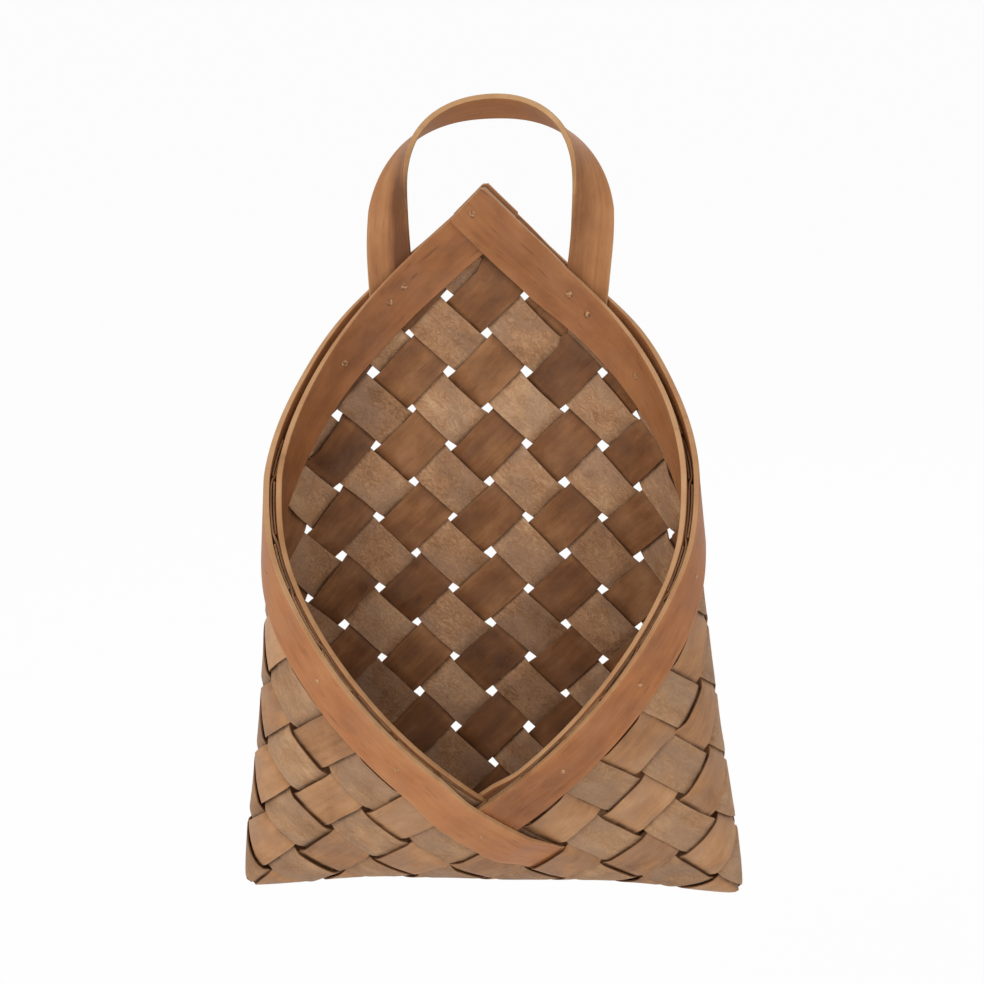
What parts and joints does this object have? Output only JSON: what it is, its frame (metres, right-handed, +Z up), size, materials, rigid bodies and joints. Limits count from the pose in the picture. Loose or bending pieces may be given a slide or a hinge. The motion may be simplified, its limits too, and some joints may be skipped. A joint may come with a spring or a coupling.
{
  "type": "hanging wall basket",
  "caption": "Flat-backed hanging wall pocket plaited on the bias from wooden splints, with a pointed mouth bound by nailed bent bands and a bent ribbon handle.",
  "frame": {"origin": "the hanging point, in the middle of the inner face of the handle's arch", "axes": "+X to the right seen from the front, +Y back to the wall, +Z up"},
  "size_m": [0.2448, 0.1118, 0.3849],
  "materials": {
    "splint": "rough split wood, lightly varnished",
    "band": "smooth bent wood, satin varnish",
    "handle": "smooth bent wood, satin varnish",
    "nail": "dull, stained over with the varnish"
  },
  "bodies": {
    "root": {"splint_rising_1": "splint", "splint_rising_2": "splint", "splint_rising_3": "splint", "splint_rising_4": "splint", "splint_rising_5": "splint", "splint_rising_6": "splint", "splint_rising_7": "splint", "splint_falling_1": "splint", "splint_falling_2": "splint", "splint_falling_3": "splint", "splint_falling_4": "splint", "splint_falling_5": "splint", "splint_falling_6": "splint", "splint_falling_7": "splint", "inner_band_left": "band", "inner_band_right": "band", "outer_band_left": "band", "outer_band_right": "band", "handle": "handle", "nail_tip": "nail", "nail_front": "nail", "nail_left_1": "nail", "nail_left_2": "nail", "nail_left_3": "nail", "nail_left_4": "nail", "nail_left_5": "nail", "nail_left_6": "nail", "nail_right_1": "nail", "nail_right_2": "nail", "nail_right_3": "nail", "nail_right_4": "nail", "nail_right_5": "nail", "nail_right_6": "nail"}
  },
  "joints": []
}
